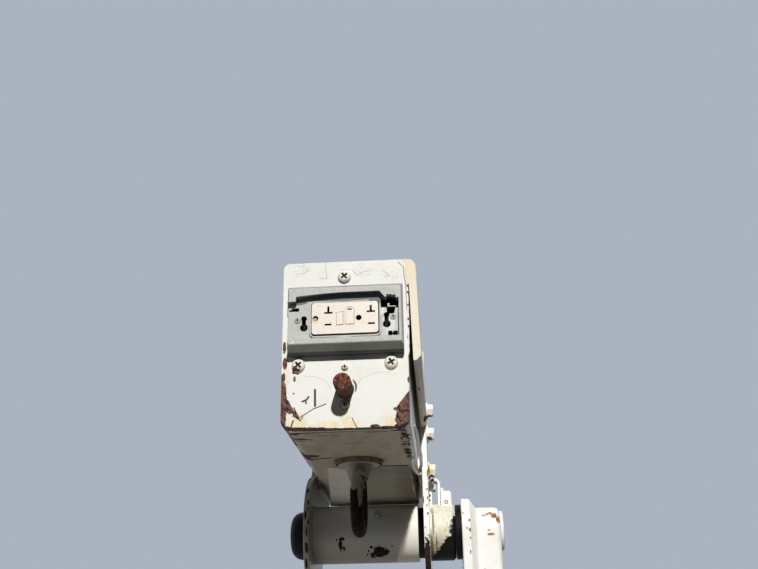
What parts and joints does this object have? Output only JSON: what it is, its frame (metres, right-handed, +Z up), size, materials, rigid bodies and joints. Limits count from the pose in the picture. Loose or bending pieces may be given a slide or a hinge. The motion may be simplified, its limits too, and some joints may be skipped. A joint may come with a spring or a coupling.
{
  "type": "aerial lift boom tip with power outlet",
  "caption": "Tip of a bucket truck's upper boom: tube, end plate with power outlet, fork cheeks, tie-down eye and a pivoting platform bracket.",
  "frame": {"origin": "centre of the boom tube's open rear end, where it joins the rest of the boom", "axes": "+Y back along the boom, out of the tube's open end; +Z up; +X across the boom, towards the platform bracket"},
  "size_m": [0.2717, 0.59, 0.436],
  "materials": {
    "white_paint": "aged white enamel, chipped and rust-stained",
    "cream_paint": "yellowed cream enamel",
    "grey_plastic": "weathered grey moulding",
    "ivory_plastic": "ivory moulding",
    "plated_screw": "painted-over plated steel",
    "painted_bolt": "painted-over bolt",
    "rusty_steel": "heavy rust",
    "bare_steel": "turned steel, greasy",
    "bronze": "bearing bronze",
    "black_rubber": "black, greasy"
  },
  "bodies": {
    "boom_tip": {"boom_tube": "white_paint", "end_plate": "white_paint", "outlet_base": "grey_plastic", "outlet_gasket": "black_rubber", "receptacle": "ivory_plastic", "test_button": "ivory_plastic", "reset_button": "ivory_plastic", "plate_screws": "plated_screw", "small_screws": "plated_screw", "outlet_screws": "plated_screw", "chain_stud": "rusty_steel", "stud_nut": "rusty_steel", "side_cover": "cream_paint", "cheek_right": "white_paint", "cheek_left": "white_paint", "cheek_spacer_right": "white_paint", "cheek_spacer_left": "white_paint", "pivot_tube": "white_paint", "bushing_left": "bronze", "bushing_right": "bronze", "bearing_hub": "cream_paint", "cheek_bolts": "painted_bolt", "cheek_washers": "painted_bolt", "hose_strap": "white_paint", "level_lug": "white_paint", "eye_pad": "white_paint", "tie_down_eye": "rusty_steel", "belly_gusset": "white_paint", "grease_fitting": "bare_steel"},
    "platform_bracket": {"pivot_shaft": "bare_steel", "shaft_cap": "black_rubber", "seal_ring": "black_rubber", "bracket_flange": "white_paint", "bracket_arm": "white_paint", "shaft_end_disc": "white_paint", "platform_plate": "white_paint"}
  },
  "joints": [
    {"name": "platform_pivot", "type": "hinge", "parent": "boom_tip", "child": "platform_bracket", "pos_m": [0, -0.249, -0.148], "axis": [1, 0, 0], "range_deg": [-30, 95]}
  ]
}
